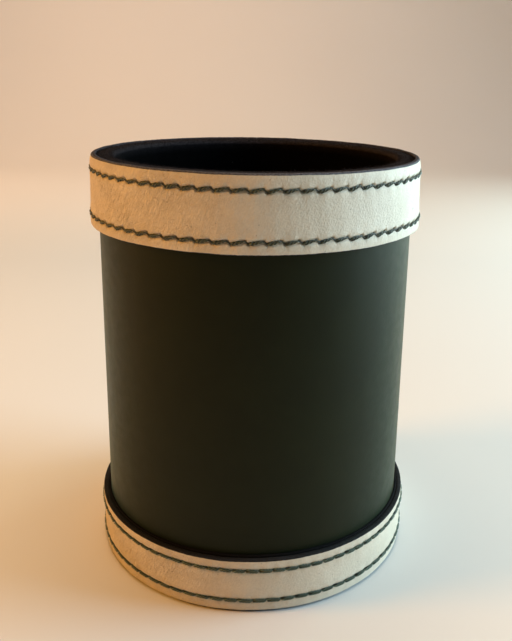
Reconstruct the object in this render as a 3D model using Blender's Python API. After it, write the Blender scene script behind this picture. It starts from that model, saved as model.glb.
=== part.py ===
"""Leather pen holder cup, standing on Z = 0 with its axis on Z and its seams at the back, towards +Y.

A stiff board tube and a board base carry everything else. Dark leather is wrapped round the tube,
suede lines the inside and is turned over the rim, and a suede cover closes the underside. A light
leather band goes round the top and another round the bottom. Each band is two plies, sewn together
with two rows of thread that lie in sunk grooves.
"""

import math

import bmesh
import bpy

MM = 0.001

# Overall sizes. The body is measured over its leather wrap, and the height from table to rim.
HEIGHT = 110.7 * MM
BODY_DIAMETER = 84.4 * MM

# Thicknesses of the sheet materials
WRAP_THICKNESS = 1.2 * MM
TUBE_WALL = 2.0 * MM
LINING_THICKNESS = 0.8 * MM
BASE_BOARD_THICKNESS = 2.5 * MM
BASE_COVER_THICKNESS = 1.0 * MM
TOP_BAND_THICKNESS = 1.2 * MM
TOP_BACKING_THICKNESS = 0.5 * MM
BOTTOM_BAND_THICKNESS = 1.1 * MM
BOTTOM_BACKING_THICKNESS = 0.4 * MM

# Bands: their heights, and how their edges stand to the pieces beside them
TOP_BAND_HEIGHT = 18.0 * MM
BOTTOM_BAND_HEIGHT = 14.5 * MM
BAND_LIFT = 0.4 * MM  # from the table up to the bottom band
LINING_DROP = 0.4 * MM  # from the rim of the top band down to the turned-over lining
TOP_BACKING_RECESS = 0.5 * MM  # the hidden ply stops this far above the top band's lower edge
BOTTOM_BACKING_REVEAL = 0.5 * MM  # the dark ply shows this much above the bottom band

# Edge roundings
RIM_ROUNDING = 0.8 * MM
BAND_ROUNDING = 0.35 * MM
LINING_ROUNDING = 0.6 * MM
COVER_ROUNDING = 0.4 * MM

# Sewing thread and the grooves that it lies in
THREAD_DIAMETER = 0.8 * MM
TOP_STITCH_RISE = 0.5 * MM  # how far a stitch climbs from its first hole to its last
BOTTOM_STITCH_RISE = 0.15 * MM
TOP_STITCH_PROUD = 0.4 * MM  # how far the thread stands out of the band
BOTTOM_STITCH_PROUD = 0.6 * MM
STITCH_SHARE = 0.8  # part of the pitch that a stitch covers, the rest being the step to the next
GROOVE_FLARE = 0.25 * MM  # a groove is this much wider on each side at its mouth

# Rows of stitching: how far each lies in from its band's nearer edge, and its distance from hole to hole
TOP_UPPER_INSET = 3.6 * MM
TOP_UPPER_PITCH = 3.95 * MM
TOP_LOWER_INSET = 2.9 * MM
TOP_LOWER_PITCH = 4.05 * MM
BOTTOM_UPPER_INSET = 2.8 * MM
BOTTOM_UPPER_PITCH = 3.35 * MM
BOTTOM_LOWER_INSET = 2.95 * MM
BOTTOM_LOWER_PITCH = 3.65 * MM

# Fits
CLEARANCE = 0.3 * MM  # between pieces that are glued or rest on each other
SEAM_GAP = 0.3 * MM  # between the two ends of a wrap or a band, where they meet at the back

ROUND_STEPS = 60  # facets round the cup
ARC_STEPS = 2  # facets round an edge's quarter turn
BACK = math.pi / 2  # direction of the seams, seen from above

# Radii, from the body's surface inwards
BODY_RADIUS = BODY_DIAMETER / 2
WRAP_INNER = BODY_RADIUS - WRAP_THICKNESS
TUBE_OUTER = WRAP_INNER - CLEARANCE
TUBE_INNER = TUBE_OUTER - TUBE_WALL
BASE_RADIUS = TUBE_INNER - CLEARANCE
LINING_OUTER = TUBE_INNER - CLEARANCE
LINING_INNER = LINING_OUTER - LINING_THICKNESS
FLOOR_RADIUS = LINING_INNER - CLEARANCE

# Radii, from the body's surface outwards
BACKING_INNER = BODY_RADIUS + CLEARANCE
TOP_BACKING_OUTER = BACKING_INNER + TOP_BACKING_THICKNESS
TOP_BAND_INNER = TOP_BACKING_OUTER + CLEARANCE
TOP_BAND_OUTER = TOP_BAND_INNER + TOP_BAND_THICKNESS
BOTTOM_BACKING_OUTER = BACKING_INNER + BOTTOM_BACKING_THICKNESS
BOTTOM_BAND_INNER = BOTTOM_BACKING_OUTER + CLEARANCE
BOTTOM_BAND_OUTER = BOTTOM_BAND_INNER + BOTTOM_BAND_THICKNESS

# Heights, from the table upwards
COVER_TOP = BASE_COVER_THICKNESS
WALL_BOTTOM = COVER_TOP + CLEARANCE
BASE_TOP = WALL_BOTTOM + BASE_BOARD_THICKNESS
LINING_BOTTOM = BASE_TOP + CLEARANCE
FLOOR_TOP = LINING_BOTTOM + LINING_THICKNESS
BOTTOM_BAND_TOP = BAND_LIFT + BOTTOM_BAND_HEIGHT
TOP_BAND_BOTTOM = HEIGHT - TOP_BAND_HEIGHT
LINING_TOP = HEIGHT - LINING_DROP
TURNOVER_UNDERSIDE = LINING_TOP - LINING_THICKNESS
WALL_TOP = TURNOVER_UNDERSIDE - CLEARANCE
TOP_UPPER_ROW = HEIGHT - TOP_UPPER_INSET
TOP_LOWER_ROW = TOP_BAND_BOTTOM + TOP_LOWER_INSET
BOTTOM_UPPER_ROW = BOTTOM_BAND_TOP - BOTTOM_UPPER_INSET
BOTTOM_LOWER_ROW = BAND_LIFT + BOTTOM_LOWER_INSET


def clear_scene():
    for obj in list(bpy.data.objects):
        bpy.data.objects.remove(obj, do_unlink=True)


def make_material(name, colour, roughness):
    material = bpy.data.materials.new(name)
    material.use_nodes = True
    shader = material.node_tree.nodes["Principled BSDF"]
    shader.inputs["Base Color"].default_value = (*colour, 1.0)
    shader.inputs["Roughness"].default_value = roughness
    shader.inputs["Metallic"].default_value = 0.0
    material.diffuse_color = (*colour, 1.0)
    return material


def rounded_corner(radius, height, rounding, turn_from):
    """Points of a quarter turn about (radius, height), clockwise from the given direction."""
    points = []
    for step in range(ARC_STEPS + 1):
        angle = turn_from - step / ARC_STEPS * math.pi / 2
        points.append((radius + rounding * math.cos(angle), height + rounding * math.sin(angle)))
    return points


def top_corner(outer, top, rounding):
    """From the top face down on to the outer face."""
    return rounded_corner(outer - rounding, top - rounding, rounding, math.pi / 2)


def bottom_corner(outer, bottom, rounding):
    """From the outer face in on to the bottom face."""
    return rounded_corner(outer - rounding, bottom + rounding, rounding, 0.0)


def inner_top_corner(inner, top, rounding):
    """From the inner face up on to the top face."""
    return rounded_corner(inner + rounding, top - rounding, rounding, math.pi)


def groove(outer, row_height, rise, proud):
    """Outline of a stitching groove, from its upper lip down to its lower one."""
    depth = THREAD_DIAMETER + CLEARANCE - proud
    half_floor = THREAD_DIAMETER / 2 + rise / 2 + CLEARANCE
    half_mouth = half_floor + GROOVE_FLARE
    return [
        (outer, row_height + half_mouth),
        (outer - depth, row_height + half_floor),
        (outer - depth, row_height - half_floor),
        (outer, row_height - half_mouth),
    ]


def add_mesh_object(name, bm, material):
    bmesh.ops.remove_doubles(bm, verts=bm.verts, dist=1e-6)
    bmesh.ops.recalc_face_normals(bm, faces=bm.faces)
    mesh = bpy.data.meshes.new(name)
    bm.to_mesh(mesh)
    bm.free()
    mesh.shade_smooth()
    mesh.set_sharp_from_angle(angle=math.radians(35))
    mesh.materials.append(material)
    obj = bpy.data.objects.new(name, mesh)
    bpy.context.scene.collection.objects.link(obj)
    return obj


def turned(name, outline, material):
    """A closed (radius, height) outline swept a full turn round Z."""
    bm = bmesh.new()
    points = [bm.verts.new((0.0, radius, height)) for radius, height in outline]
    edges = [bm.edges.new((points[i - 1], points[i])) for i in range(len(points))]
    if outline[0][0] == 0.0 and outline[-1][0] == 0.0:
        bm.edges.remove(edges.pop(0))  # an outline that starts and ends on the axis needs no side there
    bmesh.ops.spin(
        bm, geom=points + edges, cent=(0, 0, 0), axis=(0, 0, 1), angle=2 * math.pi, steps=ROUND_STEPS
    )
    return add_mesh_object(name, bm, material)


def turned_with_seam(name, outline, outer, material):
    """The same, stopping short of a full turn so that the two ends meet in a seam at the back."""
    bm = bmesh.new()
    half_gap = SEAM_GAP / outer / 2
    start = BACK + half_gap
    points = [
        bm.verts.new((radius * math.cos(start), radius * math.sin(start), height))
        for radius, height in outline
    ]
    end_face = bm.faces.new(points)
    bmesh.ops.spin(
        bm,
        geom=[end_face, *end_face.edges, *points],
        cent=(0, 0, 0),
        axis=(0, 0, 1),
        angle=2 * math.pi - 2 * half_gap,
        steps=ROUND_STEPS,
    )
    return add_mesh_object(name, bm, material)


def stitch_row(name, band_outer, row_height, pitch, rise, proud, material):
    """One thread round the cup: long stitches that climb to the right, each with a short step down after it."""
    thread_radius = THREAD_DIAMETER / 2
    path_radius = band_outer + proud - thread_radius
    count = round(2 * math.pi * path_radius / pitch)
    curve = bpy.data.curves.new(name, "CURVE")
    curve.dimensions = "3D"
    curve.bevel_depth = thread_radius
    curve.bevel_resolution = 1
    spline = curve.splines.new("POLY")
    spline.points.add(2 * count - 1)
    for stitch in range(count):
        for end, share, height in ((0, 0.0, -rise / 2), (1, STITCH_SHARE, rise / 2)):
            angle = BACK + 2 * math.pi * (stitch + share) / count
            spline.points[2 * stitch + end].co = (
                path_radius * math.cos(angle),
                path_radius * math.sin(angle),
                row_height + height,
                1.0,
            )
    spline.use_cyclic_u = True
    curve.materials.append(material)
    obj = bpy.data.objects.new(name, curve)
    bpy.context.scene.collection.objects.link(obj)
    return obj


def make_board_parts():
    board = make_material("grey_board", (0.42, 0.36, 0.28), 0.9)
    turned(
        "core_tube",
        [
            (TUBE_OUTER, WALL_TOP),
            (TUBE_OUTER, WALL_BOTTOM),
            (TUBE_INNER, WALL_BOTTOM),
            (TUBE_INNER, WALL_TOP),
        ],
        board,
    )
    turned(
        "base_board",
        [(0.0, BASE_TOP), (BASE_RADIUS, BASE_TOP), (BASE_RADIUS, WALL_BOTTOM), (0.0, WALL_BOTTOM)],
        board,
    )


def make_body_wrap():
    green_leather = make_material("green_leather", (0.028, 0.043, 0.030), 0.42)
    turned_with_seam(
        "body_wrap",
        [
            (BODY_RADIUS, WALL_TOP),
            (BODY_RADIUS, WALL_BOTTOM),
            (WRAP_INNER, WALL_BOTTOM),
            (WRAP_INNER, WALL_TOP),
        ],
        BODY_RADIUS,
        green_leather,
    )


def make_suede_parts():
    suede = make_material("black_suede", (0.012, 0.011, 0.013), 0.95)
    turned(
        "wall_lining",
        [
            *top_corner(BODY_RADIUS, LINING_TOP, LINING_ROUNDING),
            (BODY_RADIUS, TURNOVER_UNDERSIDE),
            (LINING_OUTER, TURNOVER_UNDERSIDE),
            (LINING_OUTER, LINING_BOTTOM),
            (LINING_INNER, LINING_BOTTOM),
            *inner_top_corner(LINING_INNER, LINING_TOP, LINING_ROUNDING),
        ],
        suede,
    )
    turned(
        "floor_lining",
        [(0.0, FLOOR_TOP), (FLOOR_RADIUS, FLOOR_TOP), (FLOOR_RADIUS, LINING_BOTTOM), (0.0, LINING_BOTTOM)],
        suede,
    )
    turned(
        "base_cover",
        [
            (0.0, COVER_TOP),
            (BODY_RADIUS, COVER_TOP),
            *bottom_corner(BODY_RADIUS, 0.0, COVER_ROUNDING),
            (0.0, 0.0),
        ],
        suede,
    )


def make_bands():
    light_leather = make_material("light_leather", (0.80, 0.75, 0.66), 0.55)
    edge_ply = make_material("grey_edge_ply", (0.13, 0.12, 0.14), 0.85)
    dark_ply = make_material("dark_ply", (0.018, 0.017, 0.019), 0.8)
    turned_with_seam(
        "top_band",
        [
            *top_corner(TOP_BAND_OUTER, HEIGHT, RIM_ROUNDING),
            *groove(TOP_BAND_OUTER, TOP_UPPER_ROW, TOP_STITCH_RISE, TOP_STITCH_PROUD),
            *groove(TOP_BAND_OUTER, TOP_LOWER_ROW, TOP_STITCH_RISE, TOP_STITCH_PROUD),
            *bottom_corner(TOP_BAND_OUTER, TOP_BAND_BOTTOM, BAND_ROUNDING),
            (TOP_BAND_INNER, TOP_BAND_BOTTOM),
            (TOP_BAND_INNER, HEIGHT),
        ],
        TOP_BAND_OUTER,
        light_leather,
    )
    turned_with_seam(
        "top_band_backing",
        [
            (TOP_BACKING_OUTER, HEIGHT),
            (TOP_BACKING_OUTER, TOP_BAND_BOTTOM + TOP_BACKING_RECESS),
            (BACKING_INNER, TOP_BAND_BOTTOM + TOP_BACKING_RECESS),
            (BACKING_INNER, HEIGHT),
        ],
        TOP_BACKING_OUTER,
        edge_ply,
    )
    turned_with_seam(
        "bottom_band",
        [
            *top_corner(BOTTOM_BAND_OUTER, BOTTOM_BAND_TOP, BAND_ROUNDING),
            *groove(BOTTOM_BAND_OUTER, BOTTOM_UPPER_ROW, BOTTOM_STITCH_RISE, BOTTOM_STITCH_PROUD),
            *groove(BOTTOM_BAND_OUTER, BOTTOM_LOWER_ROW, BOTTOM_STITCH_RISE, BOTTOM_STITCH_PROUD),
            *bottom_corner(BOTTOM_BAND_OUTER, BAND_LIFT, BAND_ROUNDING),
            (BOTTOM_BAND_INNER, BAND_LIFT),
            (BOTTOM_BAND_INNER, BOTTOM_BAND_TOP),
        ],
        BOTTOM_BAND_OUTER,
        light_leather,
    )
    turned_with_seam(
        "bottom_band_backing",
        [
            (BOTTOM_BACKING_OUTER, BOTTOM_BAND_TOP + BOTTOM_BACKING_REVEAL),
            (BOTTOM_BACKING_OUTER, BAND_LIFT),
            (BACKING_INNER, BAND_LIFT),
            (BACKING_INNER, BOTTOM_BAND_TOP + BOTTOM_BACKING_REVEAL),
        ],
        BOTTOM_BACKING_OUTER,
        dark_ply,
    )


def make_stitching():
    thread = make_material("green_thread", (0.045, 0.075, 0.055), 0.6)
    top = (TOP_BAND_OUTER, TOP_STITCH_RISE, TOP_STITCH_PROUD)
    bottom = (BOTTOM_BAND_OUTER, BOTTOM_STITCH_RISE, BOTTOM_STITCH_PROUD)
    rows = [
        ("top_band_upper_stitching", top, TOP_UPPER_ROW, TOP_UPPER_PITCH),
        ("top_band_lower_stitching", top, TOP_LOWER_ROW, TOP_LOWER_PITCH),
        ("bottom_band_upper_stitching", bottom, BOTTOM_UPPER_ROW, BOTTOM_UPPER_PITCH),
        ("bottom_band_lower_stitching", bottom, BOTTOM_LOWER_ROW, BOTTOM_LOWER_PITCH),
    ]
    for name, (band_outer, rise, proud), row_height, pitch in rows:
        stitch_row(name, band_outer, row_height, pitch, rise, proud, thread)


clear_scene()
make_board_parts()
make_body_wrap()
make_suede_parts()
make_bands()
make_stitching()
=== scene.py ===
import math

import bpy
import numpy as np
from mathutils import Matrix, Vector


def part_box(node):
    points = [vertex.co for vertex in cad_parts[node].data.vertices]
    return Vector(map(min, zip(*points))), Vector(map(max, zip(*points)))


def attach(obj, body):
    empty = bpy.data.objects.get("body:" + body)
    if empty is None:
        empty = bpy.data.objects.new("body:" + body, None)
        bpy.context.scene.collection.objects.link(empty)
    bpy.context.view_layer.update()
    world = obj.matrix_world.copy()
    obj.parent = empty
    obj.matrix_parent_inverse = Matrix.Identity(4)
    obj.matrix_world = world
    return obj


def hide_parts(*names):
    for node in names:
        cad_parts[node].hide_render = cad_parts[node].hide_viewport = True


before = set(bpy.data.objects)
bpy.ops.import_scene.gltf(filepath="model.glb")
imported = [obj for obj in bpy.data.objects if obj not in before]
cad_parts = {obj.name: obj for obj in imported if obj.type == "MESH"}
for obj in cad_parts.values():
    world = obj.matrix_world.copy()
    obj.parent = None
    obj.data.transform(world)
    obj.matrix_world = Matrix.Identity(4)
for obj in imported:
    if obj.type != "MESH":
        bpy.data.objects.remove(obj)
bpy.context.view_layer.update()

# The looks of a round leather pen holder cup. Every piece that shows is a finely meshed copy of its
# CAD node: bands pressed and puckered by their sewing, three-ply thread, cut edges, suede and seams.
# Lengths are in metres. Directions round the cup are angles from +X, and the seams are at the back.

MM = 0.001
TAU = 2 * math.pi
BACK = math.pi / 2

# Radii and heights that the CAD settles
BODY_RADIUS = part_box("body_wrap")[1].x
LINING_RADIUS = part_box("floor_lining")[1].x + 0.3 * MM
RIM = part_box("top_band")[1].z
TOP_BAND_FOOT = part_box("top_band")[0].z
BOTTOM_BAND_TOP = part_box("bottom_band")[1].z
BOTTOM_BAND_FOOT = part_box("bottom_band")[0].z
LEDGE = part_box("bottom_band_backing")[1].z
LINING_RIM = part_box("wall_lining")[1].z
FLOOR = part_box("floor_lining")[1].z
COVER_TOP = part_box("base_cover")[1].z

# Thicknesses that the CAD gives its leather and lining
WRAP_THICKNESS = 1.2 * MM
LINING_THICKNESS = 0.8 * MM

# How finely the meshes are divided round the cup: each piece stays under 200,000 triangles
BAND_STEPS = 1480
PLY_STEPS = 1500
BODY_STEPS = 700
LINING_STEPS = 820
DISC_STEPS = 240
DISC_RINGS = 45
NAP_FIBRES = 6500

# The sewn bands' butt seams at the back, and how the ends of a ring are divided towards them
SEAM = 0.06 * MM
SEAM_ROUNDING = 0.28 * MM
SEAM_STEPS = [k * 0.02 * MM for k in range(15)] + [0.4 * MM, 0.6 * MM]

# A small dent in the body: its direction is measured from the front, to the right
DENT_TURN = math.radians(74)
DENT_HEIGHT = 41 * MM
DENT_DEPTH = 0.16 * MM


# ---------------------------------------------------------------- meshes

def smoothstep(low, high, x):
    t = np.clip((x - low) / (high - low), 0.0, 1.0)
    return t * t * (3 - 2 * t)


def waves(seed, angle, height, amplitude, counts, height_scale=60.0):
    """Low unevenness that closes round the cup: a few sines with random phases."""
    rng = np.random.default_rng(seed)
    total = np.zeros(np.broadcast(angle, height).shape)
    for count in counts:
        phase, tilt = rng.uniform(0, TAU), rng.uniform(-1, 1)
        total += np.sin(count * angle + phase + tilt * height_scale * height) / len(counts)
    return amplitude * total


def arc_points(centre, rounding, start, end, count):
    """Points on an arc of a section, angles in degrees from outwards, turning clockwise."""
    angles = np.radians(np.linspace(start, end, count))
    return [(centre[0] + rounding * math.cos(a), centre[1] + rounding * math.sin(a)) for a in angles]


def refined(points, spacing):
    """A closed section's points with more put on its straight runs, none further apart than spacing
    says for their radius and height."""
    out = []
    for (r0, z0), (r1, z1) in zip(points, points[1:] + points[:1]):
        step = spacing((r0 + r1) / 2, (z0 + z1) / 2)
        count = max(1, math.ceil(math.hypot(r1 - r0, z1 - z0) / step))
        for k in range(count):
            out.append((r0 + (r1 - r0) * k / count, z0 + (z1 - z0) * k / count))
    return np.array(out)


def section_normals(section):
    """Outward normals of a closed section whose points run clockwise, outwards along its top."""
    ahead = np.roll(section, -1, axis=0) - section
    behind = section - np.roll(section, 1, axis=0)
    ahead /= np.linalg.norm(ahead, axis=1)[:, None]
    behind /= np.linalg.norm(behind, axis=1)[:, None]
    along = ahead + behind
    along /= np.linalg.norm(along, axis=1)[:, None]
    return np.stack([-along[:, 1], along[:, 0]], axis=1)


def add_object(name, mesh, material, slot, *replaced):
    mesh.materials.append(material)
    obj = bpy.data.objects.new(name, mesh)
    bpy.context.scene.collection.objects.link(obj)
    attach(obj, "root")
    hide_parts(*replaced)
    return obj


def mesh_from(name, vertices, loops, sizes, uvs=None, values=None):
    """A mesh from flat arrays: face corners, face sizes, and values kept for the material."""
    mesh = bpy.data.meshes.new(name)
    mesh.vertices.add(len(vertices))
    mesh.vertices.foreach_set("co", np.ascontiguousarray(vertices, np.float32).ravel())
    mesh.loops.add(len(loops))
    mesh.loops.foreach_set("vertex_index", loops.astype(np.int32))
    starts = np.concatenate([[0], np.cumsum(sizes)[:-1]])
    mesh.polygons.add(len(sizes))
    mesh.polygons.foreach_set("loop_start", starts.astype(np.int32))
    mesh.polygons.foreach_set("loop_total", sizes.astype(np.int32))
    mesh.update(calc_edges=True)
    mesh.validate()
    if uvs is not None:
        layer = mesh.uv_layers.new(name="unrolled")
        layer.data.foreach_set("uv", np.ascontiguousarray(uvs, np.float32).ravel())
    for label, data in (values or {}).items():
        attribute = mesh.attributes.new(label, "FLOAT", "POINT")
        attribute.data.foreach_set("value", np.ascontiguousarray(data, np.float32).ravel())
    mesh.shade_smooth()
    return mesh


def ring_mesh(name, angles, radius, height, open_ring, values=None):
    """Quads between sections placed round the cup. radius and height are (angles, points) arrays.
    An open ring has flat ends, which meet at the back."""
    around, points = radius.shape
    x = radius * np.cos(angles)[:, None]
    y = radius * np.sin(angles)[:, None]
    vertices = np.stack([x, y, height], axis=-1).reshape(-1, 3)
    i = np.arange(around - 1 if open_ring else around)
    j = np.arange(points)
    ii, jj = np.meshgrid(i, j, indexing="ij")
    next_i, next_j = (ii + 1) % around, (jj + 1) % points
    quads = np.stack(
        [ii * points + jj, ii * points + next_j, next_i * points + next_j, next_i * points + jj], axis=-1
    ).reshape(-1, 4)
    # the unrolled coordinates: metres round the cup, and metres along the section
    middle = radius.mean()
    run = np.concatenate([[0.0], np.cumsum(np.hypot(*np.diff(np.stack([radius[0], height[0]]), axis=1)))])
    closing = math.hypot(radius[0, 0] - radius[0, -1], height[0, 0] - height[0, -1])
    run = np.append(run, run[-1] + closing)
    turn = np.append(angles, angles[0] + TAU) * middle
    u = np.stack([turn[ii], turn[ii], turn[ii + 1], turn[ii + 1]], axis=-1).reshape(-1)
    v = -np.stack([run[jj], run[jj + 1], run[jj + 1], run[jj]], axis=-1).reshape(-1)
    uvs = np.stack([u, v], axis=-1)
    loops, sizes = quads.reshape(-1), np.full(len(quads), 4)
    if open_ring:
        first, last = j[::-1], (around - 1) * points + j
        loops = np.concatenate([loops, first, last])
        sizes = np.concatenate([sizes, [points, points]])
        ends = np.concatenate([first, last])
        cap_uv = np.stack([radius.reshape(-1)[ends], vertices[ends, 2]], axis=-1)
        uvs = np.concatenate([uvs, cap_uv])
    return mesh_from(name, vertices, loops, sizes, uvs, values)


def seam_angles(radius, gap, count, end_steps):
    """Angles round an open ring from one side of the seam to the other, closer together at its ends."""
    start, end = BACK + gap / radius / 2, BACK + TAU - gap / radius / 2
    steps = np.array(end_steps) / radius
    middle = np.linspace(start + steps[-1], end - steps[-1], count)
    return np.concatenate([start + steps[:-1], middle, (end - steps[:-1])[::-1]])


def end_rounding(angles, radius, gap, rounding):
    """How far a ring's section shrinks near its two cut ends, so that their edges are rounded."""
    from_end = np.minimum(angles - BACK, BACK + TAU - angles) * radius - gap / 2
    inside = np.clip(rounding - from_end, 0.0, rounding)
    return rounding - np.sqrt(rounding**2 - inside**2)


# ---------------------------------------------------------------- sewing

class Row:
    """One row of stitching. Each stitch climbs by rise from the foot of one slanting slit to the head of
    the next. Each slit reaches slit to both sides of its middle."""

    def __init__(self, name, pitch, rise, slit, thread, proud, lean, tail, twist, taper, bed, pucker, seed):
        low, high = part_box(name)
        self.name, self.height = name, (low.z + high.z) / 2
        self.radius = high.x - 0.5 * MM
        self.count = round(TAU * self.radius / pitch)
        self.pitch = TAU * self.radius / self.count
        self.rise, self.slit, self.thread, self.proud = rise, slit, thread, proud
        self.lean, self.tail, self.twist_length = lean, tail, twist
        self.taper, self.bed, self.pucker = taper, bed, pucker
        rng = np.random.default_rng(seed)
        around = np.arange(self.count) * TAU / self.count
        self.lift = rng.normal(0.0, 0.05 * MM, self.count)
        self.lift = self.lift + waves(seed, around, 0 * around, 0.12 * MM, (1, 2, 3))
        self.tilt = rng.normal(1.0, 0.12, self.count)
        self.pull = rng.normal(1.0, 0.05, self.count)
        self.twist = rng.uniform(0, TAU, self.count)

    def local(self, angles):
        """Which stitch each angle falls in, and how far along it, measured from the hole before it."""
        along = ((angles - BACK) % TAU) * self.radius
        stitch = np.floor(along / self.pitch).astype(int) % self.count
        return stitch, along - np.floor(along / self.pitch) * self.pitch

    def offset(self, angles, heights):
        """Where points lie from their stitch's first hole, along the row and above it."""
        stitch, x = self.local(angles)
        this, following = self.lift[stitch], self.lift[(stitch + 1) % self.count]
        lifts = this * (1 - x / self.pitch) + following * x / self.pitch
        return stitch, x[:, None], heights - self.height - lifts[:, None]

    def press(self, angles, heights):
        """Depth of the groove that the pulled thread presses into the leather, and of its slits."""
        stitch, x, y = self.offset(angles, heights)
        rise = (self.rise * self.tilt[stitch])[:, None]
        share = np.clip((x - self.slit) / (self.pitch - 2 * self.slit), 0.0, 1.0)
        bed = np.exp(-(((y - (share - 0.5) * rise) / (0.46 * self.thread)) ** 2))
        side = np.where(x < self.pitch / 2, x, x - self.pitch)
        slope = -rise / (2 * self.slit)
        off_slit = np.abs(y - slope * side) / np.hypot(1.0, slope)
        past_slit = np.maximum(np.abs(side) - self.slit, 0.0)
        slit = np.exp(-((off_slit / (0.17 * MM)) ** 2) - (past_slit / (0.15 * MM)) ** 2)
        dimple = np.exp(-((y / (0.80 * MM)) ** 2) - (side / (0.85 * MM)) ** 2)
        return self.bed * bed + 0.45 * MM * slit + 0.12 * MM * dimple

    def crowd(self, angles, heights):
        """The leather stands up a little on both sides of each stitch, between its holes."""
        _, x, y = self.offset(angles, heights)
        between = 0.5 - 0.5 * np.cos(TAU * x / self.pitch)
        lips = 0.10 * MM * between * np.exp(-(((np.abs(y) - 1.1 * MM) / (0.6 * MM)) ** 2))
        side = np.where(x < self.pitch / 2, x, x - self.pitch)

        def swelling(up, over):
            return np.exp(-(((y - up) / (0.34 * MM)) ** 2) - ((side - over) / (0.55 * MM)) ** 2)

        pucker = swelling(-0.62 * MM, -0.15 * MM) + 0.6 * swelling(0.62 * MM, 0.25 * MM)
        return lips + self.pucker * pucker


def thread_mesh(row, surface):
    """The row's stitches: each is three twisted plies that come out of the foot of one slit, go into the
    head of the next, and show thinly along it."""
    steps, sides, plies = 30, 8, 3
    t = np.linspace(0.0, 1.0 + row.tail, steps)[None, :, None]
    on, past = np.minimum(t, 1.0), np.maximum(t - 1.0, 0.0) / max(row.tail, 0.01)
    stitch = np.arange(row.count)[:, None, None]
    lift = row.lift[:, None, None] * (1 - on) + np.roll(row.lift, -1)[:, None, None] * on
    rise = (row.rise * row.tilt)[:, None, None]
    run = row.pitch - 2 * row.slit
    along = stitch * row.pitch + row.slit + on * run + past * 2 * row.slit
    across = (0.6 * on + 0.4 * smoothstep(0.0, 1.0, on) - 0.5 - past) * rise
    comes_up, goes_in = smoothstep(0.0, 0.14, on), smoothstep(0.82, 1.0, on)
    sunk = 0.8 * MM * (1 - comes_up) + 0.22 * MM * goes_in + 0.10 * MM * past
    if not row.tail:
        sunk = sunk + 0.5 * MM * goes_in
    thick = row.thread / 2 * row.pull[:, None, None]
    thick = thick * (0.75 + 0.25 * comes_up)
    thick = thick * (1 - row.taper * smoothstep(0.35, 0.97, on)) * (1 - 0.40 * goes_in)
    height = row.height + lift + across
    angle = BACK + along / row.radius
    radius = surface(height) + row.proud - thick - sunk
    centre = np.stack([radius * np.cos(angle), radius * np.sin(angle), height], axis=-1)[:, :, 0]
    tangent = np.gradient(centre, axis=1)
    tangent /= np.linalg.norm(tangent, axis=-1)[..., None]
    outward = np.stack([np.cos(angle), np.sin(angle), np.zeros_like(angle)], axis=-1)[:, :, 0]
    sideways = np.cross(tangent, outward)
    sideways /= np.linalg.norm(sideways, axis=-1)[..., None]
    outward = np.cross(sideways, tangent)
    turn = -TAU * t * run / row.twist_length + row.twist[:, None, None] + np.arange(plies) * TAU / plies
    ply_radius, off_axis = 0.49 * thick, 0.53 * thick

    def placed(amount, around):
        return amount[..., None] * (
            np.cos(around)[..., None] * outward[:, :, None] + np.sin(around)[..., None] * sideways[:, :, None]
        )

    ply_centre = centre[:, :, None] + placed(off_axis + 0 * turn, turn)
    ring = np.arange(sides) * TAU / sides
    around = turn[..., None] + ring
    vertices = ply_centre[:, :, :, None] + (ply_radius + 0 * turn)[..., None, None] * (
        np.cos(around)[..., None] * outward[:, :, None, None]
        + np.sin(around)[..., None] * sideways[:, :, None, None]
    )
    # the stitch leans: what is higher than its middle line is moved along the row
    above = vertices[..., 2] - centre[:, :, None, None, 2]
    east = np.stack([-np.sin(angle), np.cos(angle), 0 * angle], axis=-1)[:, :, 0][:, :, None, None]
    vertices = vertices + (row.lean * above)[..., None] * east
    vertices = vertices.transpose(0, 2, 1, 3, 4).reshape(row.count * plies, steps, sides, 3)
    tubes = row.count * plies
    base = (np.arange(tubes) * steps * sides)[:, None, None]
    i, j = np.arange(steps - 1)[:, None], np.arange(sides)[None, :]
    a, b = i * sides + j, i * sides + (j + 1) % sides
    quads = (base[..., None] + np.stack([a, a + sides, b + sides, b], axis=-1)[None]).reshape(-1, 4)
    caps_start = base[:, 0] + np.arange(sides)[None, :]
    caps_end = base[:, 0] + (steps - 1) * sides + np.arange(sides)[::-1][None, :]
    loops = np.concatenate([quads.reshape(-1), caps_start.reshape(-1), caps_end.reshape(-1)])
    sizes = np.concatenate([np.full(len(quads), 4), np.full(2 * tubes, sides)])
    ply = np.broadcast_to(np.arange(tubes)[:, None, None] % 7 / 7.0, (tubes, steps, sides))
    # how far each point of a ply faces out from the thread's middle: the thread's material paints shade where
    # it faces in, between the plies
    exposed = np.broadcast_to(np.cos(ring)[None, None, :], (tubes, steps, sides))
    values = {"ply": ply, "exposed": exposed}
    return mesh_from(row.name, vertices.reshape(-1, 3), loops, sizes, values=values)


# ---------------------------------------------------------------- materials

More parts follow.
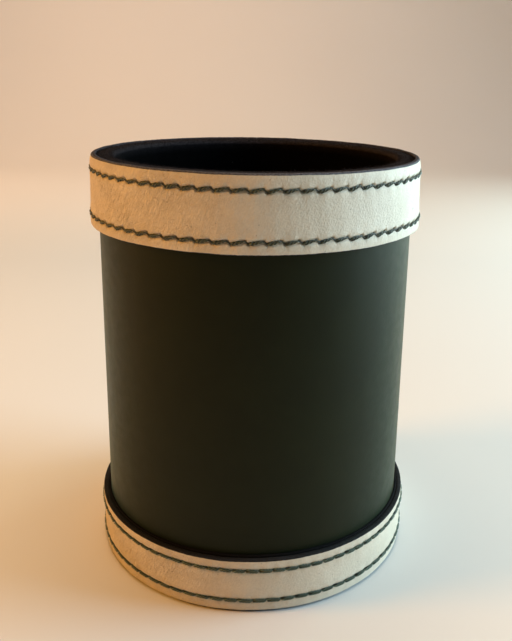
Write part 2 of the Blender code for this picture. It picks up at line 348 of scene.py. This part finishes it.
class Material:
    """A node material, with short calls for the nodes that these surfaces share."""

    def __init__(self, name):
        self.material = bpy.data.materials.new(name)
        self.material.use_nodes = True
        self.tree = self.material.node_tree
        self.shader = self.tree.nodes["Principled BSDF"]

    def node(self, kind, inputs=None, **settings):
        made = self.tree.nodes.new(kind)
        for key, value in settings.items():
            setattr(made, key, value)
        for key, value in (inputs or {}).items():
            self.put(made.inputs[key], value)
        return made

    def put(self, socket, value):
        if isinstance(value, bpy.types.NodeSocket):
            self.tree.links.new(value, socket)
        elif isinstance(value, tuple) and socket.type == "RGBA":
            socket.default_value = (*value, 1.0)
        else:
            socket.default_value = value

    def place(self, scale=(1.0, 1.0, 1.0), turn=0.0, unrolled=True):
        """Coordinates in metres: unrolled round the cup, or as they lie in space."""
        if unrolled:
            source = self.node("ShaderNodeUVMap", uv_map="unrolled").outputs["UV"]
        else:
            source = self.node("ShaderNodeTexCoord").outputs["Object"]
        turned = self.node("ShaderNodeMapping", {"Vector": source, "Rotation": (0, 0, turn)})
        if scale == (1.0, 1.0, 1.0):
            return turned.outputs["Vector"]
        stretched = self.node("ShaderNodeMapping", {"Vector": turned.outputs["Vector"], "Scale": scale})
        return stretched.outputs["Vector"]

    def noise(self, where, size, detail=3.0, rough=0.55, distortion=0.0):
        inputs = {"Vector": where, "Scale": 1 / size, "Detail": detail, "Roughness": rough,
                  "Distortion": distortion}
        return self.node("ShaderNodeTexNoise", inputs).outputs["Fac"]

    def cells(self, where, size, feature="F1", randomness=1.0):
        inputs = {"Vector": where, "Scale": 1 / size, "Randomness": randomness}
        return self.node("ShaderNodeTexVoronoi", inputs, feature=feature).outputs["Distance"]

    def ramp(self, value, low, high, to_low=0.0, to_high=1.0):
        made = self.node("ShaderNodeMapRange", interpolation_type="SMOOTHSTEP")
        for index, number in enumerate((value, low, high, to_low, to_high)):
            self.put(made.inputs[index], number)
        return made.outputs["Result"]

    def math(self, operation, a, b=0.0):
        made = self.node("ShaderNodeMath", operation=operation)
        self.put(made.inputs[0], a)
        self.put(made.inputs[1], b)
        return made.outputs["Value"]

    def mix(self, factor, a, b):
        made = self.node("ShaderNodeMix", data_type="RGBA")
        self.put(made.inputs[0], factor)
        self.put(made.inputs[6], a)
        self.put(made.inputs[7], b)
        return made.outputs[2]

    def attribute(self, name):
        return self.node("ShaderNodeAttribute", attribute_name=name).outputs["Fac"]

    def bump(self, value, depth, before=None, strength=1.0):
        made = self.node("ShaderNodeBump", {"Height": value, "Distance": depth, "Strength": strength})
        if before is not None:
            self.put(made.inputs["Normal"], before)
        return made.outputs["Normal"]

    def finish(self, colour, roughness, normal=None, **uniform):
        self.put(self.shader.inputs["Base Color"], colour)
        self.put(self.shader.inputs["Roughness"], roughness)
        if normal is not None:
            self.put(self.shader.inputs["Normal"], normal)
        for key, value in uniform.items():
            self.shader.inputs[key.replace("_", " ")].default_value = value
        return self.material


def band_leather(name, dye_dark, dye_light, dye_roughness):
    """Off-white leather: creased at its left and pebbled at its right, with pores, faint stains and
    dyed cut edges. Painted shade darkens its creases, the valleys between its pebbles, and the
    grooves and slits of its stitching."""
    creased_to, pebbled_from = -25 * MM, 8 * MM
    # the colour of the painted shade in creases and between the grain's pebbles
    shade = (0.42, 0.36, 0.27)
    m = Material(name)
    flat, space = m.place(), m.place(unrolled=False)
    warp = m.noise(flat, 3.0 * MM, detail=2.0)
    creases = m.noise(m.place((1.0, 0.30, 1.0), math.radians(28)), 0.60 * MM, 4.0, 0.6, 0.9)
    creases = m.ramp(m.math("ABSOLUTE", m.math("SUBTRACT", creases, 0.5)), 0.0, 0.12)
    creased = m.ramp(m.noise(flat, 9.0 * MM, 2.0), 0.38, 0.62, 0.6, 1.0)
    across = m.node("ShaderNodeSeparateXYZ", {"Vector": space}).outputs["X"]
    creased = m.math("MULTIPLY", creased, m.ramp(across, creased_to, pebbled_from, 1.0, 0.25))
    grain = m.cells(flat, 0.44 * MM, "SMOOTH_F1")
    fine = m.noise(flat, 0.20 * MM)
    pores = m.ramp(m.cells(flat, 2.6 * MM), 0.03, 0.09)
    nicks = m.ramp(m.cells(m.place((1.0, 1.6, 1.0)), 3.4 * MM), 0.05, 0.10)
    stain = m.noise(flat, 8.0 * MM, detail=4.0)
    pressed, edge = m.ramp(m.attribute("pressed"), 0.35, 1.1), m.attribute("edge")
    cream = m.mix(m.ramp(stain, 0.35, 0.7), (0.77, 0.665, 0.510), (0.85, 0.745, 0.580))
    cream = m.mix(m.math("MULTIPLY", m.ramp(warp, 0.45, 0.75), 0.12), cream, (0.72, 0.64, 0.50))
    cream = m.mix(m.ramp(pores, 0.0, 1.0, 0.4, 0.0), cream, (0.30, 0.24, 0.17))
    cream = m.mix(m.ramp(nicks, 0.0, 1.0, 0.35, 0.0), cream, (0.22, 0.17, 0.12))
    # painted shade: creases and the valleys between the grain's pebbles are darkened
    in_creases = m.math("MULTIPLY", m.ramp(creases, 0.0, 1.0, 0.16, 0.0), creased)
    cream = m.mix(in_creases, cream, shade)
    cream = m.mix(m.ramp(grain, 0.25, 0.60, 0.0, 0.10), cream, shade)
    # painted shade: the stitching's grooves and slits are darkened by their depth
    cream = m.mix(m.math("MULTIPLY", pressed, 0.8), cream, (0.10, 0.085, 0.06))
    ragged = m.math("ADD", edge, m.math("MULTIPLY", m.math("SUBTRACT", fine, 0.5), 0.7))
    dyed = m.ramp(ragged, 0.40, 0.60)
    fibre = m.noise(space, 0.35 * MM, 5.0, 0.7)
    dye = m.mix(m.ramp(fibre, 0.38, 0.66), dye_dark, dye_light)
    dye = m.mix(m.attribute("inside"), dye, (0.004, 0.0035, 0.004))
    colour = m.mix(dyed, cream, dye)
    pebbled = m.math("MULTIPLY", grain, m.ramp(across, creased_to, pebbled_from, 0.45, 1.0))
    normal = m.bump(pebbled, 0.075 * MM)
    normal = m.bump(m.math("MULTIPLY", creases, creased), 0.14 * MM, normal)
    normal = m.bump(pores, 0.05 * MM, normal)
    normal = m.bump(m.math("MULTIPLY", fibre, dyed), 0.18 * MM, normal)
    roughness = m.ramp(fine, 0.3, 0.7, 0.44, 0.56)
    undyed = m.math("SUBTRACT", 1.0, dyed)
    roughness = m.math(
        "ADD", m.math("MULTIPLY", roughness, undyed), m.math("MULTIPLY", dyed, dye_roughness)
    )
    return m.finish(colour, roughness, normal, Specular_IOR_Level=0.42)


def ply_leather(name, dark, light, roughness):
    """The thin dark layer behind a band: dyed, and fibrous where it is cut."""
    m = Material(name)
    space = m.place(unrolled=False)
    fibre = m.noise(space, 0.32 * MM, 5.0, 0.7)
    patches = m.noise(space, 1.6 * MM, 3.0)
    colour = m.mix(m.ramp(fibre, 0.36, 0.66), dark, light)
    colour = m.mix(m.ramp(patches, 0.40, 0.75, 0.0, 0.5), colour, dark)
    normal = m.bump(fibre, 0.20 * MM)
    return m.finish(colour, m.ramp(fibre, 0.3, 0.7, roughness - 0.06, roughness + 0.06), normal,
                    Specular_IOR_Level=0.12)


def body_leather():
    """Smooth dark green leather with a satin finish and a very fine grain."""
    m = Material("dark_green_leather")
    flat = m.place()
    cloud = m.noise(flat, 14.0 * MM, 4.0)
    grain = m.cells(flat, 0.34 * MM, "SMOOTH_F1")
    wrinkle = m.noise(flat, 1.1 * MM, 5.0, 0.6, 0.4)
    pores = m.ramp(m.cells(flat, 1.3 * MM), 0.02, 0.07)
    colour = m.mix(m.ramp(cloud, 0.3, 0.7), (0.0046, 0.0070, 0.0016), (0.0062, 0.0092, 0.0022))
    colour = m.mix(m.ramp(pores, 0.0, 1.0, 0.5, 0.0), colour, (0.002, 0.003, 0.001))
    normal = m.bump(grain, 0.012 * MM, strength=0.5)
    normal = m.bump(wrinkle, 0.030 * MM, normal, 0.5)
    normal = m.bump(pores, 0.020 * MM, normal, 0.6)
    roughness = m.ramp(m.noise(flat, 3.0 * MM, 4.0), 0.3, 0.7, 0.40, 0.47)
    return m.finish(colour, roughness, normal, Specular_IOR_Level=0.16, Specular_Tint=(1.0, 0.97, 0.72, 1.0),
                    Sheen_Weight=0.17, Sheen_Roughness=0.38, Sheen_Tint=(0.68, 1.0, 0.76, 1.0))


def suede(name, dark, light, rim=False):
    """Black suede: a short nap that lies in patches, with a few specks of lint. With rim, its upturned rim is
    painted lighter and warmer, as lit from above.
    """
    m = Material(name)
    space = m.place(unrolled=False)
    nap = m.noise(space, 0.22 * MM, 6.0, 0.75)
    brushed = m.noise(space, 5.0 * MM, 4.0, 0.6, 1.2)
    specks = m.ramp(m.cells(space, 2.4 * MM), 0.035, 0.055, 1.0, 0.0)
    chosen = m.ramp(m.noise(space, 3.1 * MM), 0.56, 0.60)
    lint = m.math("MULTIPLY", specks, chosen)
    colour = m.mix(m.ramp(nap, 0.40, 0.68), dark, light)
    colour = m.mix(m.ramp(brushed, 0.35, 0.70, 0.0, 0.6), colour, dark)
    colour = m.mix(m.math("MULTIPLY", lint, 0.55), colour, (0.24, 0.23, 0.22))
    # painted light: over the rim, where it faces up, the suede is coloured lighter and warmer than the
    # near-black lining
    if rim:
        brown = m.mix(m.ramp(nap, 0.42, 0.70), (0.0030, 0.0024, 0.0026), (0.075, 0.062, 0.066))
        colour = m.mix(m.attribute("rim"), colour, brown)
    normal = m.bump(nap, 0.22 * MM)
    return m.finish(colour, m.ramp(nap, 0.3, 0.7, 0.86, 0.97), normal, Specular_IOR_Level=0.02)


def waxed_thread(name, dark, light, specular):
    """Green waxed thread: fine fibres along each ply, plies that differ a little, and painted shade where each
    ply faces in towards the others.
    """
    m = Material(name)
    space = m.place(unrolled=False)
    fibre = m.noise(space, 0.13 * MM, 4.0, 0.7)
    ply = m.attribute("ply")
    colour = m.mix(m.ramp(fibre, 0.35, 0.68), dark, light)
    colour = m.mix(m.ramp(ply, 0.0, 1.0, 0.0, 0.35), colour, dark)
    # painted shade in the gaps between the plies, where they face in
    colour = m.mix(m.ramp(m.attribute("exposed"), 0.05, 0.75, 0.92, 0.0), colour, (0.002, 0.003, 0.0015))
    normal = m.bump(fibre, 0.05 * MM)
    return m.finish(colour, m.ramp(fibre, 0.3, 0.7, 0.28, 0.44), normal, Specular_IOR_Level=specular)


def cardboard():
    """Grey-brown board, with the flecks and wrapped layers of pressed paper."""
    m = Material("grey_board")
    space = m.place(unrolled=False)
    pulp = m.noise(space, 0.9 * MM, 6.0, 0.7)
    flecks = m.ramp(m.cells(space, 1.8 * MM), 0.05, 0.12)
    layers = m.noise(m.place((0.15, 0.15, 1.0), unrolled=False), 0.35 * MM, 3.0)
    colour = m.mix(m.ramp(pulp, 0.3, 0.7), (0.27, 0.23, 0.18), (0.40, 0.35, 0.28))
    colour = m.mix(m.ramp(flecks, 0.0, 1.0, 0.5, 0.0), colour, (0.14, 0.11, 0.08))
    normal = m.bump(layers, 0.05 * MM, m.bump(pulp, 0.06 * MM))
    return m.finish(colour, m.ramp(pulp, 0.3, 0.7, 0.82, 0.92), normal, Specular_IOR_Level=0.25)


# ---------------------------------------------------------------- the pieces

# What the rows of each band share. twist is the length of one turn of the plies, tail how far past the
# slit a stitch runs as a share of itself, and taper how much thinner it becomes along its length.
TOP_SEWING = dict(rise=0.66 * MM, slit=0.50 * MM, thread=1.00 * MM, proud=0.36 * MM, lean=0.0, tail=0.32,
                  twist=2.7 * MM, taper=0.55, bed=0.40 * MM, pucker=0.10 * MM)
BOTTOM_SEWING = dict(rise=-0.16 * MM, slit=0.14 * MM, thread=1.06 * MM, proud=0.46 * MM, lean=0.6, tail=0.0,
                     twist=2.1 * MM, taper=0.30, bed=0.26 * MM, pucker=0.05 * MM)
TOP_ROWS = [
    Row("top_band_upper_stitching", pitch=3.95 * MM, seed=11, **TOP_SEWING),
    Row("top_band_lower_stitching", pitch=4.05 * MM, seed=12, **TOP_SEWING),
]
BOTTOM_ROWS = [
    Row("bottom_band_upper_stitching", pitch=3.35 * MM, seed=13, **BOTTOM_SEWING),
    Row("bottom_band_lower_stitching", pitch=3.65 * MM, seed=14, **BOTTOM_SEWING),
]


def make_band(name, rows, inner, foot, top, foot_radius, top_radius, foot_rounding, top_rounding, top_lean,
              dyed, material, thread_material, seed):
    """A sewn leather band. Its outer face slopes from foot_radius to top_radius, and leans in by top_lean
    at its upper edge. The dye of its upper cut edge runs down its face by dyed."""
    def outer(z):
        slope = foot_radius + (top_radius - foot_radius) * (z - foot) / (top - foot)
        return slope - top_lean * smoothstep(top - 1.6 * MM, top, z)

    def near_row(r, z):
        if r < inner + 0.1 * MM:
            return 3.0 * MM
        return 0.18 * MM if min(abs(z - row.height) for row in rows) < 1.1 * MM else 0.9 * MM

    top_centre = (outer(top) - top_rounding, top - top_rounding)
    foot_centre = (outer(foot) - foot_rounding, foot + foot_rounding)
    face_top, face_foot = top - top_rounding, foot + foot_rounding
    heights = np.linspace(face_top, face_foot, 24)[1:-1]
    outline = (
        [(inner, top)]
        + arc_points(top_centre, top_rounding, 90, 0, 6)
        + [(outer(z), z) for z in heights]
        + arc_points(foot_centre, foot_rounding, 0, -90, 6)
        + [(inner, foot)]
    )
    section = refined(outline, near_row)
    normals = section_normals(section)
    angles = seam_angles(top_radius, SEAM, BAND_STEPS, SEAM_STEPS)
    shrink = end_rounding(angles, top_radius, SEAM, SEAM_ROUNDING)
    r, z = section[:, 0][None, :], section[:, 1][None, :]
    theta = angles[:, None]
    face = smoothstep(inner + 0.35 * MM, inner + 0.8 * MM, r) * (0 * theta + 1)
    pressed = sum(row.press(angles, z) for row in rows)
    crowded = sum(row.crowd(angles, z) for row in rows)
    uneven = waves(seed, theta, z, 0.10 * MM, (2, 3, 5, 9)) + waves(seed + 1, theta, z, 0.035 * MM,
                                                                    (17, 23, 41, 67), 300.0)
    push = face * (uneven + crowded - pressed) - shrink[:, None]
    near_top, near_foot = smoothstep(top - 2.5 * MM, top, z), 1 - smoothstep(foot, foot + 2.5 * MM, z)
    sway = waves(seed + 2, theta, 0 * z, 0.10 * MM, (2, 5, 11, 19, 31))
    ragged = waves(seed + 3, theta, 0 * z, 0.03 * MM, (97, 151, 223))
    radius = r + push * normals[:, 0]
    height = z + push * normals[:, 1] + (sway + ragged) * near_top + (0.6 * sway[::-1] + ragged) * near_foot
    cut = np.maximum(smoothstep(top - dyed - 0.14 * MM, top - dyed + 0.14 * MM, z),
                     1 - smoothstep(foot + 0.02 * MM, foot + 0.30 * MM, z))
    cut = cut * (0 * theta + 1)
    inside = (r < inner + 0.12 * MM) * (0 * theta + 1.0)
    # pressed carries the groove depth, by which the leather's material paints shade into grooves and slits
    values = {"pressed": pressed / (0.6 * MM) * face, "edge": cut, "inside": inside}
    mesh = ring_mesh(name, angles, radius, height, True, values)
    add_object(name + "_leather", mesh, material, "band_leather", name)
    for row in rows:
        thread = thread_mesh(row, outer)
        add_object(row.name + "_thread", thread, thread_material, "thread", row.name)


def make_ply(name, inner, outer, foot, top, rounding, material, slot, seed):
    """The thin layer behind a band, whose cut edge shows."""
    outline = (
        [(inner, top)]
        + arc_points((outer - rounding, top - rounding), rounding, 90, 0, 5)
        + [(outer, foot)]
        + [(inner, foot)]
    )
    section = refined(outline, lambda r, z: 0.10 * MM if z > top - 1.5 * MM else 2.0 * MM)
    normals = section_normals(section)
    angles = seam_angles(outer, SEAM, PLY_STEPS, SEAM_STEPS)
    r, z = section[:, 0][None, :], section[:, 1][None, :]
    theta = angles[:, None]
    near_top = smoothstep(top - 1.0 * MM, top, z)
    fuzz = np.random.default_rng(seed).normal(0.0, 0.022 * MM, (len(angles), len(section)))
    sway = waves(seed, theta, 0 * z, 0.07 * MM, (2, 5, 9, 21)) + waves(seed + 1, theta, 0 * z, 0.03 * MM,
                                                                       (61, 103, 171))
    push = near_top * fuzz - np.minimum(end_rounding(angles, outer, SEAM, SEAM_ROUNDING), 0.15 * MM)[:, None]
    radius = r + push * normals[:, 0]
    height = z + push * normals[:, 1] + sway * near_top
    add_object(name + "_leather", ring_mesh(name, angles, radius, height, True), material, slot, name)


def make_body_wrap():
    """The leather round the tube, glued edge to edge at the back, with one small dent at its right side."""
    low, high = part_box("body_wrap")
    inner = BODY_RADIUS - WRAP_THICKNESS
    outline = [(inner, high.z), (BODY_RADIUS, high.z), (BODY_RADIUS, low.z), (inner, low.z)]
    # the inner face lies against the tube, so it needs few points
    section = refined(outline, lambda r, z: 10 * MM if r < inner + 0.01 * MM else 1.0 * MM)
    normals = section_normals(section)
    angles = seam_angles(BODY_RADIUS, SEAM, BODY_STEPS, SEAM_STEPS)
    r, z = section[:, 0][None, :], section[:, 1][None, :]
    theta = angles[:, None]
    face = (r > BODY_RADIUS - 0.01 * MM) * (0 * theta + 1)
    uneven = waves(31, theta, z, 0.05 * MM, (1, 2, 3, 5), 40.0) + waves(32, theta, z, 0.012 * MM,
                                                                        (13, 21, 34), 150.0)
    dent_at = -BACK + DENT_TURN
    across = np.abs((theta + TAU / 2) % TAU - TAU / 2 - dent_at) * BODY_RADIUS
    dent = DENT_DEPTH * np.exp(-((across / (0.45 * MM)) ** 2) - ((z - DENT_HEIGHT) / (1.3 * MM)) ** 2)
    push = face * (uneven - dent) - end_rounding(angles, BODY_RADIUS, SEAM, SEAM_ROUNDING)[:, None]
    mesh = ring_mesh("body_wrap", angles, r + push * normals[:, 0], z + push * normals[:, 1], True)
    add_object("body_wrap_leather", mesh, body_leather(), "body_leather", "body_wrap")


def make_wall_lining(material):
    """Suede down the inside of the wall, turned over its rim."""
    inner, rim, turnover = LINING_RADIUS, LINING_RIM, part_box("wall_lining")[1].x + 0.25 * MM
    foot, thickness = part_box("wall_lining")[0].z, LINING_THICKNESS
    inner_rounding, outer_rounding = 1.3 * MM, 0.35 * MM
    under = rim - thickness
    outline = (
        arc_points((inner + inner_rounding, rim - inner_rounding), inner_rounding, 180, 90, 10)
        + arc_points((turnover - outer_rounding, rim - outer_rounding), outer_rounding, 90, 0, 5)
        + [(turnover, under), (inner + thickness, under), (inner + thickness, foot), (inner, foot)]
    )

    def spacing(r, z):
        """Fine on the rim, coarse down the inside, coarsest where the wall hides it."""
        if r > inner + 0.6 * thickness and z <= under + 0.01 * MM:
            return 10 * MM
        return 0.16 * MM if z > rim - 2.5 * MM else 2.0 * MM

    section = refined(outline, spacing)
    normals = section_normals(section)
    angles = np.arange(LINING_STEPS) * TAU / LINING_STEPS
    r, z = section[:, 0][None, :], section[:, 1][None, :]
    theta = angles[:, None]
    hidden = (r > inner + 0.6 * thickness) & (z <= under + 0.01 * MM)
    fuzz = np.random.default_rng(51).normal(0.0, 0.020 * MM, (len(angles), len(section)))
    crown = 0.25 * MM * smoothstep(inner, inner + 2 * MM, r) * smoothstep(turnover, turnover - 2 * MM, r)
    crown = crown * (normals[:, 1][None, :] > 0.2)
    uneven = waves(52, theta, z, 0.09 * MM, (2, 3, 7, 12), 80.0)
    push = np.where(hidden, 0.0, fuzz + uneven + crown - 0.05 * MM)
    # on_rim marks where the suede's painted light goes
    on_rim = smoothstep(rim - 1.6 * MM, rim - 0.7 * MM, z) * (0 * theta + 1)
    mesh = ring_mesh("wall_lining", angles, r + push * normals[:, 0], z + push * normals[:, 1], False,
                     {"rim": on_rim})
    add_object("wall_lining_suede", mesh, material, "lining_suede", "wall_lining")
    nap = nap_mesh("wall_lining_nap", NAP_FIBRES, inner + 0.5 * MM, turnover, rim, 53)
    add_object("wall_lining_nap", nap, material, "lining_suede")


def nap_mesh(name, count, inner, outer, height, seed):
    """Loose suede fibres that stand on a ring: thin three-sided spikes, each bent once."""
    rng = np.random.default_rng(seed)
    angle, radius = rng.uniform(0, TAU, count), rng.uniform(inner, outer, count)
    buried = np.full(count, height - 0.15 * MM)
    root = np.stack([radius * np.cos(angle), radius * np.sin(angle), buried], axis=-1)
    length = rng.uniform(0.45 * MM, 1.05 * MM, count)[:, None]
    lean = rng.normal(0.0, 0.55, (count, 2))
    first = np.stack([lean[:, 0], lean[:, 1], np.ones(count)], axis=-1)
    second = first + np.concatenate([rng.normal(0.0, 0.7, (count, 2)), np.zeros((count, 1))], axis=1)
    middle = root + 0.6 * length * first / np.linalg.norm(first, axis=1)[:, None]
    tip = middle + 0.4 * length * second / np.linalg.norm(second, axis=1)[:, None]
    corner = rng.uniform(0, TAU, count)[:, None] + np.arange(3) * TAU / 3
    spread = np.stack([np.cos(corner), np.sin(corner), 0 * corner], axis=-1)
    thick = 0.04 * MM
    vertices = np.concatenate(
        [root[:, None] + thick * spread, middle[:, None] + 0.8 * thick * spread, tip[:, None]], axis=1
    )
    corners = np.array([0, 2, 1, 0, 1, 4, 3, 1, 2, 5, 4, 2, 0, 3, 5, 3, 4, 6, 4, 5, 6, 5, 3, 6])
    face_sizes = np.array([3, 4, 4, 4, 3, 3, 3])
    loops = (np.arange(count)[:, None] * 7 + corners).reshape(-1)
    points = vertices.reshape(-1, 3)
    # every fibre takes the rim's painted light
    return mesh_from(name, points, loops, np.tile(face_sizes, count), values={"rim": np.ones(len(points))})


def make_disc(name, radius, foot, top, rounding, material, slot, seed):
    """A suede disc: rings of points from the middle of its underside, round its edge, to the middle above."""
    out = np.linspace(0.0, radius - rounding, DISC_RINGS)[1:]
    edge = arc_points((radius - rounding, top - rounding), rounding, 0, 90, 5)
    low_edge = arc_points((radius - rounding, foot + rounding), rounding, -90, 0, 5)
    profile = [(r, foot) for r in out[:-1]] + low_edge + edge + [(r, top) for r in out[-2::-1]]
    around = DISC_STEPS
    angles = np.arange(around) * TAU / around
    profile = np.array(profile)
    r, z = profile[:, 0][:, None], profile[:, 1][:, None]
    rng = np.random.default_rng(seed)
    fuzz = rng.normal(0.0, 0.018 * MM, (len(profile), around))
    uneven = waves(seed, angles[None, :], r, 0.10 * MM, (2, 3, 5), 70.0) * (r / radius)
    lift = (fuzz + uneven) * (z > top - 0.01 * MM)
    rings = np.stack([r * np.cos(angles), r * np.sin(angles), z + lift], axis=-1).reshape(-1, 3)
    vertices = np.concatenate([rings, [[0, 0, foot], [0, 0, top]]])
    count = len(profile)
    i, j = np.meshgrid(np.arange(count - 1), np.arange(around), indexing="ij")
    a, b = i * around + j, i * around + (j + 1) % around
    quads = np.stack([a, b, b + around, a + around], axis=-1).reshape(-1)
    k = np.arange(around)
    bottom, top_point, last = len(rings), len(rings) + 1, (count - 1) * around
    under = np.stack([0 * k + bottom, (k + 1) % around, k], axis=-1).reshape(-1)
    over = np.stack([0 * k + top_point, last + k, last + (k + 1) % around], axis=-1).reshape(-1)
    loops = np.concatenate([quads, under, over])
    sizes = np.concatenate([np.full((count - 1) * around, 4), np.full(2 * around, 3)])
    uvs = vertices[loops][:, :2]
    add_object(name + "_suede", mesh_from(name, vertices, loops, sizes, uvs), material, slot, name)


# One green thread in two copies: painted shade darkens the top rows' copy, and painted light makes the bottom
# rows' copy lighter, as lit from above
DARK_THREAD = waxed_thread("dark_green_thread", (0.020, 0.028, 0.012), (0.115, 0.155, 0.080), 0.75)
LIT_THREAD = waxed_thread("grey_green_thread", (0.060, 0.095, 0.068), (0.21, 0.285, 0.215), 0.45)
make_band("top_band", TOP_ROWS, inner=43.02 * MM, foot=TOP_BAND_FOOT, top=RIM, foot_radius=44.36 * MM,
          top_radius=43.80 * MM, foot_rounding=0.35 * MM, top_rounding=0.50 * MM, top_lean=0.20 * MM,
          dyed=0.42 * MM, material=band_leather("off_white_leather_grey_edge", (0.035, 0.032, 0.040),
                                                (0.16, 0.15, 0.17), 0.85),
          thread_material=DARK_THREAD, seed=21)
make_band("bottom_band", BOTTOM_ROWS, inner=42.92 * MM, foot=BOTTOM_BAND_FOOT, top=BOTTOM_BAND_TOP,
          foot_radius=44.15 * MM, top_radius=44.35 * MM, foot_rounding=0.30 * MM, top_rounding=0.35 * MM,
          top_lean=0.0, dyed=0.22 * MM,
          material=band_leather("off_white_leather_black_edge", (0.0015, 0.0013, 0.0015),
                                (0.007, 0.0065, 0.007), 0.80),
          thread_material=LIT_THREAD, seed=25)
make_ply("top_band_backing", inner=42.48 * MM, outer=43.0 * MM, foot=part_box("top_band_backing")[0].z, top=RIM,
         rounding=0.12 * MM, slot="rim_ply", seed=61,
         material=ply_leather("grey_split_leather", (0.020, 0.018, 0.022), (0.09, 0.083, 0.095), 0.85))
make_ply("bottom_band_backing", inner=42.27 * MM, outer=42.90 * MM, foot=BOTTOM_BAND_FOOT, top=LEDGE,
         rounding=0.25 * MM, slot="dark_ply", seed=65,
         material=ply_leather("black_leather_ply", (0.0012, 0.0010, 0.0012), (0.006, 0.0055, 0.006), 0.85))
make_body_wrap()
LINING_DARK, LINING_LIGHT = (0.0006, 0.0006, 0.0007), (0.0035, 0.0032, 0.0035)
LINING = suede("black_lining_suede", LINING_DARK, LINING_LIGHT)
make_wall_lining(suede("black_rim_suede", LINING_DARK, LINING_LIGHT, rim=True))
make_disc("floor_lining", radius=LINING_RADIUS - 0.02 * MM, foot=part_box("floor_lining")[0].z, top=FLOOR,
          rounding=0.30 * MM, material=LINING, slot="lining_suede", seed=71)
make_disc("base_cover", radius=BODY_RADIUS, foot=0.0, top=COVER_TOP, rounding=0.35 * MM,
          material=suede("black_base_suede", (0.0025, 0.0024, 0.0026), (0.014, 0.013, 0.014)),
          slot="base_suede", seed=72)

BOARD = cardboard()
for node in ("core_tube", "base_board"):
    board = bpy.data.objects[node]
    board.data.materials.clear()
    board.data.materials.append(BOARD)


# ---------------------------------------------------------------- room, light and camera

# Yaw to the right, pitch down and roll, then where the camera stands
CAMERA_TURN = math.radians(2.438), math.radians(15.117), math.radians(1.179)
CAMERA_PLACE = (0.0, -202.97 * MM, 132.47 * MM)
CAMERA_LENS = 41.79
CAMERA_SHIFT = (-0.0473, -0.0788)

# Each lamp's name, place, target, size, energy and colour
LAMPS = (
    ("warm_lamp", (-0.70, -0.10, 0.40), (0, 0, 0.05), 0.25, 4.1, (1.0, 0.42, 0.05)),
    ("cool_window", (0.80, 0.02, 0.30), (0, 0, 0.05), 0.60, 9.8, (0.57, 0.83, 1.0)),
    ("back_window", (0.60, 0.42, 0.16), (0, 0, 0.06), 0.35, 1.8, (0.72, 1.0, 0.90)),
    ("overhead", (0.0, 0.10, 1.10), (0, 0, 0.05), 0.80, 6.5, (1.0, 0.83, 0.58)),
    ("wall_wash", (-0.30, 0.50, 0.60), (-0.30, 1.30, 0.35), 0.50, 3.2, (1.0, 0.58, 0.32)),
)
WORLD_COLOUR, WORLD_STRENGTH = (1.0, 0.75, 0.55, 1.0), 0.03


def stage_floor():
    """A pale floor that curves up into a pale wall well behind the cup."""
    bend, depth, high, wide = 0.5, 1.3, 2.2, 3.0
    curve = [(-1.6, 0.0), (depth - bend, 0.0)]
    turns = np.linspace(0.05, 1.52, 24)
    curve += [(depth - bend + bend * math.sin(a), bend - bend * math.cos(a)) for a in turns]
    curve += [(depth, high)]
    vertices = [(x, y, z) for y, z in curve for x in (-wide, wide)]
    faces = [(2 * k, 2 * k + 1, 2 * k + 3, 2 * k + 2) for k in range(len(curve) - 1)]
    mesh = bpy.data.meshes.new("floor")
    mesh.from_pydata(vertices, [], faces)
    mesh.shade_smooth()
    m = Material("pale_floor")
    patchy = m.noise(m.place(unrolled=False), 0.35, 2.0)
    mesh.materials.append(m.finish(m.mix(patchy, (0.76, 0.74, 0.72), (0.80, 0.78, 0.76)), 0.75,
                                   Specular_IOR_Level=0.2))
    floor = bpy.data.objects.new("floor", mesh)
    bpy.context.scene.collection.objects.link(floor)


def area_light(name, place, target, size, energy, colour):
    light = bpy.data.lights.new(name, "AREA")
    light.shape, light.size, light.energy, light.color = "DISK", size, energy, colour
    obj = bpy.data.objects.new(name, light)
    bpy.context.scene.collection.objects.link(obj)
    away = np.array(place) - np.array(target)
    away = away / np.linalg.norm(away)
    side = np.cross((0.0, 0.0, 1.0), away)
    side = side / np.linalg.norm(side)
    obj.matrix_world = frame_matrix(side, np.cross(away, side), away, place)


def frame_matrix(x, y, z, origin):
    return Matrix([[*row, at] for row, at in zip(np.stack([x, y, z], axis=1), origin)] + [[0, 0, 0, 1]])


def make_camera():
    """The reference view: from the front and above, with the lens axis off the picture's middle."""
    yaw, pitch, roll = CAMERA_TURN
    forward = np.array((math.sin(yaw) * math.cos(pitch), math.cos(yaw) * math.cos(pitch), -math.sin(pitch)))
    level = np.array((math.cos(yaw), -math.sin(yaw), 0.0))
    upright = np.cross(level, forward)
    right = math.cos(roll) * level + math.sin(roll) * upright
    up = -math.sin(roll) * level + math.cos(roll) * upright
    data = bpy.data.cameras.new("camera")
    data.sensor_width, data.lens = 36.0, CAMERA_LENS
    data.shift_x, data.shift_y = CAMERA_SHIFT
    data.clip_start, data.clip_end = 0.01, 20.0
    camera = bpy.data.objects.new("camera", data)
    bpy.context.scene.collection.objects.link(camera)
    camera.matrix_world = frame_matrix(right, up, -forward, CAMERA_PLACE)
    bpy.context.scene.camera = camera


stage_floor()
for lamp in LAMPS:
    area_light(*lamp)
make_camera()

world = bpy.data.worlds.new("studio")
world.use_nodes = True
background = world.node_tree.nodes["Background"]
background.inputs["Color"].default_value = WORLD_COLOUR
background.inputs["Strength"].default_value = WORLD_STRENGTH
bpy.context.scene.world = world
bpy.context.scene.view_settings.view_transform = "Standard"
